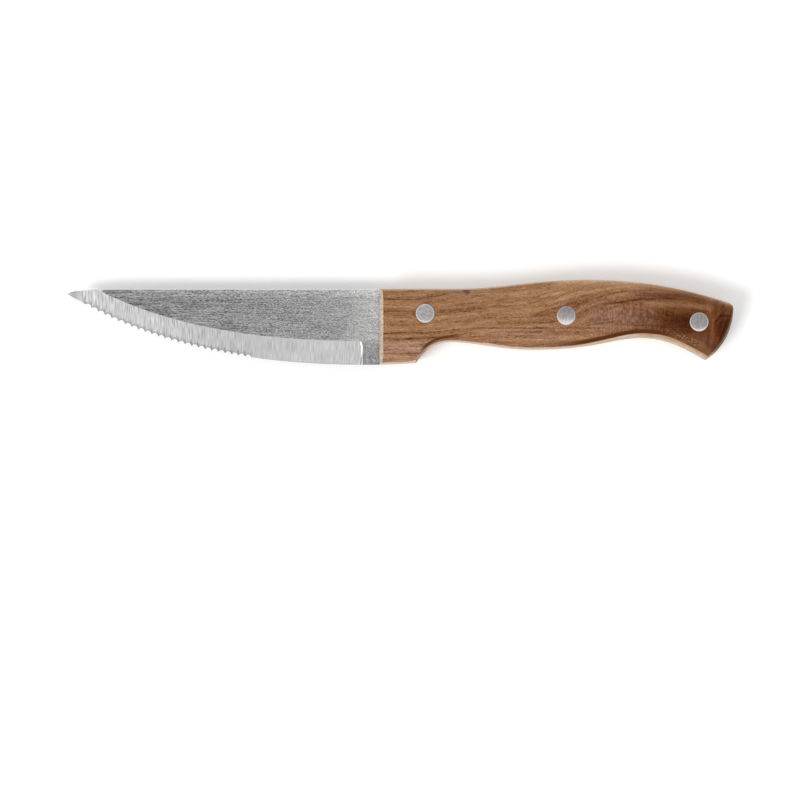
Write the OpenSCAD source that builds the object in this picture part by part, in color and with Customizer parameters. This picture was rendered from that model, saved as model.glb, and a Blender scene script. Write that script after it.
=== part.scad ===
// Steak knife with a serrated blade, a full tang and wooden handle scales held by three rivets.
// It lies on its side: +X runs from the tip to the butt, +Y from the edge to the spine,
// and +Z up through the thickness. The origin is the middle of the bounding box's bottom.
// The modules below draw in the handle's own frame, with zero at the foot of the handle's front.

/* [Blade] */
// Length of the blade, from the front of the handle to the tip
blade_length = 113; // [95:0.5:130]
// Height of the blade at its heel, which the front of the handle shares
heel_height = 27.5; // [24:0.5:32]
// Thickness of the steel, in the blade and in the tang
steel_thickness = 2; // [1.4:0.1:3]
// Height of the ground bevel above the edge, at its heel
bevel_height = 8.8; // [6:0.1:11]
// The same at the tip
tip_bevel_height = 7.6; // [6:0.1:11]
// Length of unground steel between the bevel and the handle
ricasso_length = 5.9; // [4:0.1:10]
// Width of the hollow at the edge, where the bevel runs out into the unground steel
plunge_width = 0.9; // [0.5:0.1:1.5]
// How far that hollow curls towards the tip at the top of the bevel
plunge_curl = 0.9; // [0.2:0.1:2]
// How far that hollow leans towards the tip at the edge
plunge_lean = 0.7; // [0:0.1:1.5]
// Chamfer along both corners of the spine
spine_chamfer = 0.3; // [0.1:0.05:0.5]
// Height of the honed strip along the edge
hone_height = 0.4; // [0.2:0.05:0.8]
// Thickness of the steel where the honed strip begins
hone_thickness = 0.5; // [0.3:0.05:0.8]
// Thickness of the edge itself
edge_thickness = 0.15; // [0.1:0.01:0.25]

/* [Serrations] */
// Number of scallops along the edge
scallop_count = 25; // [12:1:28]
// Distance from one scallop to the next, along the blade
scallop_pitch = 2.424; // [2:0.01:2.8]
// Distance from the tip to the start of the first scallop
scallop_start = 6; // [4:0.1:10]
// Radius of the wheel that cuts the scallops
scallop_radius = 1.25; // [1:0.05:1.5]
// Depth of a scallop below the edge line
scallop_depth = 1.1; // [0.5:0.05:1.3]
// Lean of the scallops, which are cut from the upper side, in degrees
scallop_tilt = 45; // [30:1:55]

/* [Handle] */
// Length of the handle, from its front to the butt
handle_length = 128.3; // [110:0.1:140]
// Thickness of each wooden scale
scale_thickness = 7.5; // [5:0.1:9]
// How far the wall round each scale leans in at the pommel, from the steel to the rounded edge
wall_setback = 1; // [0.4:0.1:1.6]
// Width of the rounded edge between the wall and the flat face
crown_width = 4.5; // [2:0.1:5]
// Height of the rounded edge
crown_rise = 2; // [1:0.1:3]
// How far the front of each scale slopes back from the steel to the flat face
front_slope = 1.5; // [0.5:0.1:3]

/* [Rivets] */
// Diameter of the rivet heads
head_diameter = 6.8; // [5.5:0.1:8]
// Thickness of a rivet head at its middle
head_thickness = 1.4; // [1:0.1:2]
// Rise of the dome on a rivet head
head_dome = 0.15; // [0.05:0.05:0.4]
// Diameter of the solid pin of the upper half of a rivet
pin_diameter = 3; // [2.4:0.1:3.4]
// Outer diameter of the hollow barrel of the lower half of a rivet
barrel_diameter = 4.4; // [4.1:0.1:5]

/* [Clearances] */
// Gap round every rivet head, barrel and pin
fit_gap = 0.05; // [0.02:0.01:0.1]
// Gap left beyond the end of a pin or a barrel
end_gap = 0.3; // [0.1:0.05:0.8]

/* [Hidden] */
// One overrun serves every cut
overrun = 1;
// Part of the blade, at the tip, that has closer sections
tip_zone = 22;

// Curves with four control points each. A point is a share of the handle's length behind its
// front and a share of the heel's height above its foot.
top_shares = [
    [[0, 1], [0.08, 1], [0.155, 1], [0.225, 1]],
    [[0.225, 1], [0.345, 1], [0.43, 1.12], [0.588, 1.12]],
    [[0.588, 1.12], [0.735, 1.12], [0.866, 1.008], [0.988, 0.815]],
    [[0.988, 0.815], [0.994, 0.805], [0.9975, 0.795], [0.9985, 0.775]]
];
bottom_shares = [
    [[0, 0], [0.035, 0.007], [0.07, 0.015], [0.103, 0.022]],
    [[0.103, 0.022], [0.122, 0.167], [0.155, 0.302], [0.2, 0.302]],
    [[0.2, 0.302], [0.27, 0.302], [0.338, 0.199], [0.436, 0.199]],
    [[0.436, 0.199], [0.609, 0.199], [0.66, 0.353], [0.742, 0.353]],
    [[0.742, 0.353], [0.806, 0.353], [0.865, 0.228], [0.921, 0.062]]
];
butt_shares = [
    [[0.921, 0.062], [0.981, 0.237], [0.9995, 0.54], [1, 0.74]],
    [[1, 0.74], [1, 0.753], [0.9993, 0.764], [0.9985, 0.775]]
];
// The same for the blade, with shares of its length ahead of the handle.
spine_shares = [[[1, 0.9385], [0.989, 0.973], [0.942, 0.993], [0.876, 1]]];
edge_shares = [[[1, 0.9275], [0.9, 0.69], [0.64, 0], [0.05, 0]]];
// Places of the three rivets, as shares of the handle's length and of the heel's height.
rivet_shares = [[0.1284, 0.666], [0.523, 0.6375], [0.895, 0.555]];
// Shares of the wall's setback and of the rounded edge's width, at shares of the handle's length,
// along the lower and the upper outline. The finger notch has a narrow rounded edge.
low_setback_shares = [[0, 0.2], [0.1, 0.25], [0.14, 0.45], [0.6, 0.45], [0.68, 0.8], [0.76, 1.15],
    [0.92, 1.2], [1, 1.1]];
high_setback_shares = [[0, 0.85], [0.3, 0.7], [0.85, 0.6], [0.96, 0.9], [1, 1.1]];
butt_setback_share = 1.1;
low_crown_shares = [[0, 0.9], [0.1, 0.8], [0.14, 0.36], [0.21, 0.36], [0.31, 0.9], [0.4, 1], [1, 1]];

// Counts of steps along curves, sections and rows of the surfaces.
curve_steps = 24;
crown_steps = 6;
middle_rows = 3;
guard_columns = 4;
notch_columns = 12;
grip_columns = 34;
pommel_columns = 9;
tip_sections = 12;
blade_sections = 34;
bevel_rows = 7;
plunge_sections = 3;
settle_turns = 7;
near_columns = 7;
circle_steps = 64;

// Power that holds the butt's curve back to the last columns of the handle.
butt_power = 6;
// Share of the bevel's height at which the run-out hollow reaches furthest back.
plunge_crest_share = 0.6;
// Share of the run-out hollow's width that is left at the top of the bevel.
plunge_least_share = 0.2;
// Shares of a section's height that the honed strip and the chamfer may take near the tip.
hone_share = 0.3;
chamfer_share = 0.15;

steel_half = steel_thickness/2;
wall_height = scale_thickness - crown_rise;
steel_foot = scale_thickness;
steel_top = scale_thickness + steel_thickness;
whole_thickness = 2*scale_thickness + steel_thickness;

function mix(a, b, t) = a + (b - a)*t;
function spread(a, b, n) = [for (i = [0:n - 1]) mix(a, b, i/n)];
function bezier(c, t) =
    pow(1 - t, 3)*c[0] + 3*pow(1 - t, 2)*t*c[1] + 3*(1 - t)*t*t*c[2] + pow(t, 3)*c[3];
function chain(curves) =
    [for (k = [0:len(curves) - 1], i = [min(k, 1):curve_steps]) bezier(curves[k], i/curve_steps)];
function sized(curves, length) =
    [for (c = curves) [for (p = c) [p[0]*length, p[1]*heel_height]]];
function swapped(line) = [for (p = line) [p[1], p[0]]];
function last(list) = list[len(list) - 1];

top_line = chain(sized(top_shares, handle_length));
bottom_line = chain(sized(bottom_shares, handle_length));
butt_line = chain(sized(butt_shares, handle_length));
spine_line = chain(sized(spine_shares, -blade_length));
edge_line = chain(sized(edge_shares, -blade_length));
butt_by_height = swapped(butt_line);
pommel_tip = last(bottom_line);
butt_corner = last(top_line);

// The rim is the leaning wall and the rounded edge. Each of its levels has one height all round
// the scale, and a distance in from the outline that changes along the handle.
level_heights = concat(
    [0],
    [for (k = [0:crown_steps]) wall_height + crown_rise*(1 - pow(1 - k/crown_steps, 2))]
);
level_count = len(level_heights);
function rim(setback_share, crown_share) =
    concat([0], [for (k = [0:crown_steps])
        wall_setback*setback_share + crown_width*crown_share*k/crown_steps]);
function low_rim(u) = rim(lookup(u, low_setback_shares), lookup(u, low_crown_shares));
function high_rim(u) = rim(lookup(u, high_setback_shares), 1);
butt_rim = rim(butt_setback_share, 1);

// Columns cross the handle from its lower to its upper outline, at shares of its length. The
// guard's corner has a column of its own, and the last columns follow the butt at the rim.
guard_share = bottom_shares[1][0][0]/butt_shares[0][0][0];
notch_share = bottom_shares[2][0][0]/butt_shares[0][0][0];
waist_share = bottom_shares[4][0][0]/butt_shares[0][0][0];
rim_share = 1 - last(butt_rim)/handle_length;
columns = concat(
    spread(0, guard_share, guard_columns),
    spread(guard_share, notch_share, notch_columns),
    spread(notch_share, waist_share, grip_columns),
    spread(waist_share, rim_share, pommel_columns),
    [for (k = [level_count - 1:-1:0]) 1 - butt_rim[k]/handle_length]
);
column_count = len(columns);
row_count = 2*level_count + middle_rows;

// Point of the handle's side at share u of its length and share v of the column there. The
// columns take on the curve of the butt towards the end.
function side_point(u, v) =
    let (
        low = [u*pommel_tip[0], lookup(u*pommel_tip[0], bottom_line)],
        high = [u*butt_corner[0], lookup(u*butt_corner[0], top_line)],
        butt_y = mix(pommel_tip[1], butt_corner[1], v),
        bulge = lookup(butt_y, butt_by_height) - mix(pommel_tip[0], butt_corner[0], v)
    )
    mix(low, high, v) + [bulge*pow(u, butt_power), 0];

low_edge = [for (u = columns) side_point(u, 0)];
high_edge = [for (u = columns) side_point(u, 1)];

function segment_distance(p, a, b) =
    let (d = b - a, t = max(0, min(1, (p - a)*d/(d*d))))
    norm(p - a - t*d);
function edge_distance(p, edge, i) =
    min([for (k = [max(0, i - near_columns):min(column_count - 2, i + near_columns)])
        segment_distance(p, edge[k], edge[k + 1])]);

// Share of column i at which a point lies w in from the lower edge, or from the upper edge.
function settled(i, w, upper, v, turns) =
    turns == 0 ? v :
    let (
        gap = edge_distance(side_point(columns[i], v), upper ? high_edge : low_edge, i),
        step = (w - gap)/norm(high_edge[i] - low_edge[i])
    )
    settled(i, w, upper, v + (upper ? -step : step), turns - 1);
function column_rows(i) =
    let (
        length = norm(high_edge[i] - low_edge[i]),
        high = high_rim(columns[i]),
        lows = [for (w = low_rim(columns[i])) settled(i, w, false, w/length, settle_turns)],
        highs = [for (k = [level_count - 1:-1:0])
            settled(i, high[k], true, 1 - high[k]/length, settle_turns)]
    )
    concat(lows, [for (k = [1:middle_rows]) mix(last(lows), highs[0], k/(middle_rows + 1))], highs);

// Height of a scale at column i and row j, from how far the two lie in from the outline.
function scale_height(i, j) =
    level_heights[min(j, row_count - 1 - j, column_count - 1 - i, level_count - 1)];

function outline() =
    let (butt_rows = column_rows(column_count - 1))
    concat(
        low_edge,
        [for (j = [1:row_count - 1]) side_point(1, butt_rows[j])],
        [for (i = [column_count - 2:-1:0]) high_edge[i]]
    );

// Middle of the knife's bounding box, which the whole part is moved back by.
butt_reach = max([for (p = butt_line) p[0]]);
back_height = max([for (p = top_line) p[1]]);
middle = [(butt_reach - blade_length)/2, back_height/2, 0];

module seated() {
    translate(-middle) children();
}

// Points of one blade section from the edge up to the spine, as height and half thickness.
// Share g is 0 where the bevel is ground and 1 where the steel keeps its full thickness.
function section_points(x, g) =
    let (
        foot = lookup(x, edge_line),
        head = lookup(x, spine_line),
        bevel = bevel_at(x),
        hone = min(hone_height, (head - foot)*hone_share),
        hone_half = mix(edge_thickness, hone_thickness, hone/hone_height)/2,
        chamfer = min(spine_chamfer, (head - foot)*chamfer_share),
        shoulder = min(foot + bevel, head - 2*chamfer),
        heights = concat(
            [foot, foot + hone],
            [for (k = [1:bevel_rows]) mix(foot + hone, shoulder, k/bevel_rows)],
            [head - chamfer]
        )
    )
    concat(
        [for (y = heights) [y, mix(ground_half(y - foot, hone, hone_half, bevel), steel_half, g)]],
        [[head, mix(ground_half(head - foot, hone, hone_half, bevel), steel_half, g) - chamfer]]
    );
function ground_half(rise, hone, hone_half, bevel) =
    rise <= 0
        ? edge_thickness/2
        : min(steel_half, mix(hone_half, steel_half, (rise - hone)/(bevel - hone)));
// Height of the bevel at a place along the blade
function bevel_at(x) = mix(bevel_height, tip_bevel_height, -x/blade_length);

// Place along the blade of the run-out hollow, at share f of its width and height y.
function plunge_place(y, f) =
    let (
        s = min(1, y/bevel_height),
        lean = s < plunge_crest_share
            ? plunge_lean*pow(1 - s/plunge_crest_share, 2)
            : plunge_curl*pow((s - plunge_crest_share)/(1 - plunge_crest_share), 2)
    )
    -ricasso_length - lean - plunge_width*f*mix(plunge_least_share, 1, sqrt(1 - s));

function ring(points, places) =
    concat(
        [for (k = [0:len(points) - 1]) [places[k], points[k][0], points[k][1]]],
        [for (k = [len(points) - 1:-1:0]) [places[k], points[k][0], -points[k][1]]]
    );
function plain_ring(x, g) =
    let (points = section_points(x, g))
    ring(points, [for (p = points) x]);
function plunge_ring(f) =
    let (points = section_points(-ricasso_length, pow(1 - f, 2)))
    ring(points, [for (p = points) plunge_place(p[0], f)]);

module skin(rings) {
    count = len(rings[0]);
    sides = [
        for (i = [0:len(rings) - 2], k = [0:count - 1])
            let (
                a = i*count + k,
                b = i*count + (k + 1)%count,
                c = a + count,
                d = b + count
            )
            each [[a, b, c], [b, d, c]]
    ];
    end = (len(rings) - 1)*count;
    caps = [
        for (k = [0:count/2 - 2])
            let (a = k, b = k + 1, c = count - 2 - k, d = count - 1 - k)
            each [[d, c, b, a], [end + a, end + b, end + c, end + d]]
    ];
    polyhedron(points = [for (r = rings) each r], faces = concat(caps, sides));
}

module blade_body() {
    bevel_end = -ricasso_length - plunge_curl - plunge_lean - plunge_width;
    tip_places = [for (k = [0:tip_sections - 1]) -blade_length + tip_zone*pow(k/tip_sections, 2)];
    long_places = spread(tip_zone - blade_length, bevel_end, blade_sections);
    skin(concat(
        [for (x = concat(tip_places, long_places)) plain_ring(x, 0)],
        [for (k = [plunge_sections:-1:0]) plunge_ring(k/plunge_sections)],
        [plain_ring(0, 1)]
    ));
}

module scallops() {
    axis_drop = scallop_radius/cos(scallop_tilt) - scallop_depth;
    reach = 2*(steel_thickness + 2*scallop_radius);
    for (k = [0:scallop_count - 1]) {
        x = scallop_start - blade_length + (k + 0.5)*scallop_pitch;
        translate([x, lookup(x, edge_line) - axis_drop, 0])
            rotate([-scallop_tilt, 0, 0])
                cylinder(r = scallop_radius, h = reach, center = true, $fn = circle_steps);
    }
}

module at_rivets(which = [0, 1, 2]) {
    for (k = which)
        translate([rivet_shares[k][0]*handle_length, rivet_shares[k][1]*heel_height, 0])
            children();
}

module tang() {
    difference() {
        translate([0, 0, -steel_half])
            linear_extrude(height = steel_thickness) polygon(outline());
        at_rivets()
            cylinder(d = barrel_diameter + 2*fit_gap, h = steel_thickness + 2*overrun,
                center = true, $fn = circle_steps);
    }
}

module blade() {
    color([0.72, 0.73, 0.74]) seated() translate([0, 0, steel_foot + steel_half])
        union() {
            difference() {
                blade_body();
                scallops();
            }
            tang();
        }
}

// A scale's body before it is cut, with the steel's side at zero and the flat face on top.
module scale_blank() {
    grid = [for (i = [0:column_count - 1])
        let (rows = column_rows(i))
        [for (j = [0:row_count - 1])
            let (p = side_point(columns[i], rows[j]))
            [p[0], p[1], scale_height(i, j)]]];
    front = [for (p = grid[0]) p - [overrun, 0, 0]];
    points = concat(front, [for (column = grid) each column]);
    n = column_count;
    m = row_count;
    // Each cell is cut from its corner that is nearer the butt and the outline, to keep the mitres.
    quads = [for (i = [0:n - 1], j = [0:m - 2]) [i*m + j, i*m + j + 1, (i + 1)*m + j + 1, (i + 1)*m + j]];
    top_faces = [for (q = quads) each
        (q[0]%m < m/2 ? [[q[0], q[1], q[3]], [q[1], q[2], q[3]]] : [[q[0], q[1], q[2]], [q[0], q[2], q[3]]])];
    foot_faces = [for (i = [0:n - 1]) [i*m, (i + 1)*m, (i + 1)*m + m - 1, i*m + m - 1]];
    butt_face = [for (j = [0:m - 1]) n*m + j];
    front_face = [for (j = [m - 1:-1:0]) j];
    polyhedron(points = points, faces = concat(foot_faces, [butt_face, front_face], top_faces));
}

module front_cutter() {
    lean = front_slope/scale_thickness;
    translate([0, heel_height + overrun, 0])
        rotate([90, 0, 0])
            linear_extrude(height = heel_height + 2*overrun)
                polygon([
                    [-2*overrun, -overrun],
                    [-overrun*lean, -overrun],
                    [front_slope + overrun*lean, scale_thickness + overrun],
                    [-2*overrun, scale_thickness + overrun]
                ]);
}

module scale_body() {
    difference() {
        scale_blank();
        front_cutter();
        at_rivets() {
            translate([0, 0, -overrun])
                cylinder(d = barrel_diameter + 2*fit_gap, h = scale_thickness + 2*overrun, $fn = circle_steps);
            translate([0, 0, scale_thickness - head_thickness])
                cylinder(d = head_diameter + 2*fit_gap, h = head_thickness + overrun, $fn = circle_steps);
        }
    }
}

module upper_scale() {
    color([0.58, 0.42, 0.31]) seated() translate([0, 0, steel_top]) scale_body();
}

module lower_scale() {
    color([0.5, 0.35, 0.25]) seated() translate([0, 0, steel_foot]) mirror([0, 0, 1]) scale_body();
}

// Rivet head with its underside at zero and its dome on top.
module rivet_head() {
    dome_radius = (pow(head_diameter/2, 2) + pow(head_dome, 2))/(2*head_dome);
    intersection() {
        cylinder(d = head_diameter, h = head_thickness + overrun, $fn = circle_steps);
        translate([0, 0, head_thickness - dome_radius]) sphere(r = dome_radius, $fn = 4*circle_steps);
    }
}

module rivet_pin(which) {
    color([0.78, 0.78, 0.77]) seated() at_rivets([which])
        translate([0, 0, whole_thickness - head_thickness])
            union() {
                rivet_head();
                pin_length = whole_thickness - 2*head_thickness - end_gap;
                translate([0, 0, -pin_length])
                    cylinder(d = pin_diameter, h = pin_length, $fn = circle_steps);
            }
}

module rivet_barrel(which) {
    color([0.74, 0.74, 0.73]) seated() at_rivets([which])
        difference() {
            union() {
                translate([0, 0, head_thickness]) mirror([0, 0, 1]) rivet_head();
                translate([0, 0, head_thickness])
                    cylinder(d = barrel_diameter, h = whole_thickness - 2*head_thickness - end_gap,
                        $fn = circle_steps);
            }
            translate([0, 0, head_thickness])
                cylinder(d = pin_diameter + 2*fit_gap, h = whole_thickness, $fn = circle_steps);
        }
}

module front_rivet_pin() rivet_pin(0);
module front_rivet_barrel() rivet_barrel(0);
module middle_rivet_pin() rivet_pin(1);
module middle_rivet_barrel() rivet_barrel(1);
module rear_rivet_pin() rivet_pin(2);
module rear_rivet_barrel() rivet_barrel(2);

blade();
upper_scale();
lower_scale();
front_rivet_pin();
front_rivet_barrel();
middle_rivet_pin();
middle_rivet_barrel();
rear_rivet_pin();
rear_rivet_barrel();
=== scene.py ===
# Steak knife: surfaces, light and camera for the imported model.
# Sizes are in metres unless a name or a comment says millimetres.
import math
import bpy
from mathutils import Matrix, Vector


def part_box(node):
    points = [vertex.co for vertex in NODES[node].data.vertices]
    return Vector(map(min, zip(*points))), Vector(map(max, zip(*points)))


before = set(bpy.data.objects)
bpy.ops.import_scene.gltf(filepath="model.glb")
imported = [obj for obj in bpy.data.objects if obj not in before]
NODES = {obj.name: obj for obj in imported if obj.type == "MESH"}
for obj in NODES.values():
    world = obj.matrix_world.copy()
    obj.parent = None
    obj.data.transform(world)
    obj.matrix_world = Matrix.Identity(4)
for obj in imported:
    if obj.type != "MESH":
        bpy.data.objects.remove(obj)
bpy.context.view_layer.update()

from types import SimpleNamespace

import bpy
from mathutils import Vector

MM = 0.001
SCALE_LOW, SCALE_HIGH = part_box("upper_scale")
BLADE_LOW, BLADE_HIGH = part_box("blade")
# The surfaces are laid out in millimetres behind the handle's front, above the foot of its
# front, and above the table.
FRONT = -SCALE_LOW[0]/MM
FOOT = -SCALE_LOW[1]/MM
TOP = SCALE_HIGH[2]/MM
MIDDLE = (BLADE_LOW[2] + BLADE_HIGH[2])/2/MM
# A mix node's inputs for the share, a and b, and its result, by number, because their names
# are the same for numbers and for colours.
NUMBER_INPUTS = (0, 2, 3)
NUMBER_RESULT = 0
COLOUR_INPUTS = (0, 6, 7)
COLOUR_RESULT = 2


def linear(red, green, blue):
    """A display colour from 0 to 255 as the renderer's linear colour."""
    shares = [c/255 for c in (red, green, blue)]
    return (*[s/12.92 if s <= 0.04045 else ((s + 0.055)/1.055)**2.4 for s in shares], 1.0)


class Net:
    """Adds nodes to one tree and joins them. A value is a number, a vector or another output."""

    def __init__(self, tree):
        self.tree = tree

    def put(self, socket, value):
        if isinstance(value, bpy.types.NodeSocket):
            self.tree.links.new(value, socket)
        else:
            socket.default_value = value

    def node(self, kind, inputs=None, **settings):
        made = self.tree.nodes.new(kind)
        for key, value in settings.items():
            setattr(made, key, value)
        for key, value in (inputs or {}).items():
            self.put(made.inputs[key], value)
        return made

    def math(self, kind, *values, clamp=False):
        made = self.node("ShaderNodeMath", operation=kind, use_clamp=clamp)
        for k, value in enumerate(values):
            self.put(made.inputs[k], value)
        return made.outputs[0]

    def add(self, *values):
        total = values[0]
        for value in values[1:]:
            total = self.math("ADD", total, value)
        return total

    def times(self, *values):
        total = values[0]
        for value in values[1:]:
            total = self.math("MULTIPLY", total, value)
        return total

    def less(self, a, b):
        return self.math("SUBTRACT", a, b)

    def larger(self, a, b):
        return self.math("MAXIMUM", a, b)

    def size(self, value):
        return self.math("ABSOLUTE", value)

    def distance(self, a, b):
        return self.math("SQRT", self.add(self.times(a, a), self.times(b, b)))

    def weigh(self, *pairs):
        """The sum of the values, each times its weight."""
        return self.add(*[self.times(value, weight) for value, weight in pairs])

    def dim(self, value, share, amount=1.0):
        """The value, less that amount of itself where the share is 1."""
        return self.times(value, self.less(1.0, self.times(share, amount)))

    def step(self, value, start, end):
        """Goes smoothly from 0 at start to 1 at end, whichever of the two is larger."""
        low, high = min(start, end), max(start, end)
        to = (0.0, 1.0) if start < end else (1.0, 0.0)
        made = self.node(
            "ShaderNodeMapRange",
            {"Value": value, "From Min": low, "From Max": high, "To Min": to[0], "To Max": to[1]},
            interpolation_type="SMOOTHSTEP",
        )
        return made.outputs["Result"]

    def within(self, value, start, full, still, end):
        """Rises from 0 at start to 1 at full, and falls from 1 at still to 0 at end."""
        return self.times(self.step(value, start, full), self.step(value, end, still))

    def vector(self, x, y, z):
        return self.node("ShaderNodeCombineXYZ", {"X": x, "Y": y, "Z": z}).outputs["Vector"]

    def noise(self, place, size=1.0, detail=2.0, roughness=0.5):
        """Noise from -1 to 1 or so, with a mean of 0."""
        made = self.node(
            "ShaderNodeTexNoise",
            {"Vector": place, "Scale": size, "Detail": detail, "Roughness": roughness},
        )
        return self.math("MULTIPLY_ADD", made.outputs["Fac"], 2.0, -1.0)

    def drawn(self, x, y, layer, along, across, detail=2.0, roughness=0.5):
        """Noise with that many cells for each millimetre along x and across it. Noises of
        different layers have nothing to do with each other."""
        place = self.vector(self.times(x, along), self.times(y, across), layer)
        return self.noise(place, detail=detail, roughness=roughness)

    def along(self, value, points):
        """A curve through given points, each a place and a height from 0 to 1."""
        first, final = points[0][0], points[-1][0]
        share = self.math("DIVIDE", self.less(value, first), final - first, clamp=True)
        made = self.node("ShaderNodeFloatCurve", {"Value": share})
        line = made.mapping.curves[0]
        while len(line.points) < len(points):
            line.points.new(0.5, 0.5)
        for point, (place, height) in zip(line.points, points):
            point.location = ((place - first)/(final - first), height)
        made.mapping.update()
        return made.outputs["Value"]

    def colours(self, value, stops):
        """A ramp of display colours."""
        made = self.node("ShaderNodeValToRGB", {"Fac": value})
        ramp = made.color_ramp
        while len(ramp.elements) < len(stops):
            ramp.elements.new(0.5)
        for element, (place, colour) in zip(ramp.elements, stops):
            element.position = place
            element.color = linear(*colour)
        return made.outputs["Color"]

    def mix(self, share, a, b, kind="MIX"):
        """The colour a where the share is 0 or less, and b where it is 1 or more."""
        made = self.node("ShaderNodeMix", data_type="RGBA", blend_type=kind)
        for k, value in zip(COLOUR_INPUTS, (share, a, b)):
            self.put(made.inputs[k], value)
        return made.outputs[COLOUR_RESULT]

    def mix_number(self, share, a, b):
        """The number a where the share is 0 or less, and b where it is 1 or more."""
        made = self.node("ShaderNodeMix", data_type="FLOAT")
        for k, value in zip(NUMBER_INPUTS, (share, a, b)):
            self.put(made.inputs[k], value)
        return made.outputs[NUMBER_RESULT]


def new_material(name):
    """A material, and its net with the place in millimetres and the way that a facet faces."""
    material = bpy.data.materials.new(name)
    material.use_nodes = True
    material.node_tree.nodes.clear()
    net = Net(material.node_tree)
    net.shader = net.node("ShaderNodeBsdfPrincipled")
    net.node("ShaderNodeOutputMaterial", {"Surface": net.shader.outputs["BSDF"]})
    place = net.node("ShaderNodeTexCoord").outputs["Object"]
    parts = net.node("ShaderNodeSeparateXYZ", {"Vector": place}).outputs
    net.x = net.math("MULTIPLY_ADD", parts["X"], 1/MM, FRONT)
    net.y = net.math("MULTIPLY_ADD", parts["Y"], 1/MM, FOOT)
    net.z = net.times(parts["Z"], 1/MM)
    geometry = net.node("ShaderNodeNewGeometry").outputs
    facet = net.node("ShaderNodeSeparateXYZ", {"Vector": geometry["True Normal"]}).outputs
    net.facing = {axis: facet[axis] for axis in "XYZ"}
    return material, net


def dress(net, colour, roughness, height, strength, depth):
    """Joins the finished values to the shader. The depth of the relief is in millimetres."""
    relief = {"Height": height, "Strength": strength, "Distance": depth*MM}
    bump = net.node("ShaderNodeBump", relief)
    net.put(net.shader.inputs["Base Color"], colour)
    net.put(net.shader.inputs["Roughness"], roughness)
    net.put(net.shader.inputs["Normal"], bump.outputs["Normal"])


MARK_INPUTS = [
    "x",
    "y",
    "middle x",
    "middle y",
    "run x",
    "run y",
    "half length",
    "soft end",
    "width",
    "strength",
]


def mark_group():
    """A soft mark: 1 on a straight line and fading off it, times a strength."""
    tree = bpy.data.node_groups.new("mark", "ShaderNodeTree")
    for name in MARK_INPUTS:
        tree.interface.new_socket(name, in_out="INPUT", socket_type="NodeSocketFloat")
    tree.interface.new_socket("mark", in_out="OUTPUT", socket_type="NodeSocketFloat")
    net = Net(tree)
    given = net.node("NodeGroupInput").outputs
    x = net.less(given["x"], given["middle x"])
    y = net.less(given["y"], given["middle y"])
    along = net.add(net.times(x, given["run x"]), net.times(y, given["run y"]))
    past = net.larger(net.less(net.size(along), given["half length"]), 0.0)
    end = net.math("DIVIDE", past, given["soft end"])
    off = net.less(net.times(y, given["run x"]), net.times(x, given["run y"]))
    off = net.math("DIVIDE", off, given["width"])
    spread = net.add(net.times(end, end), net.times(off, off))
    height = net.math("EXPONENT", net.times(spread, -1.0))
    net.node("NodeGroupOutput", {"mark": net.times(height, given["strength"])})
    return tree


MARK = mark_group()


def marks(net, x, y, rows, soft_end):
    """The sum of soft marks, each from one place to another, with a half width and a strength."""
    total = 0.0
    for x0, y0, x1, y1, width, strength in rows:
        length = math.hypot(x1 - x0, y1 - y0)
        made = net.node("ShaderNodeGroup", node_tree=MARK)
        values = {
            "x": x,
            "y": y,
            "middle x": (x0 + x1)/2,
            "middle y": (y0 + y1)/2,
            "run x": (x1 - x0)/length,
            "run y": (y1 - y0)/length,
            "half length": length/2,
            "soft end": soft_end,
            "width": width,
            "strength": strength,
        }
        for key, value in values.items():
            net.put(made.inputs[key], value)
        total = net.add(total, made.outputs["mark"])
    return total


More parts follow.
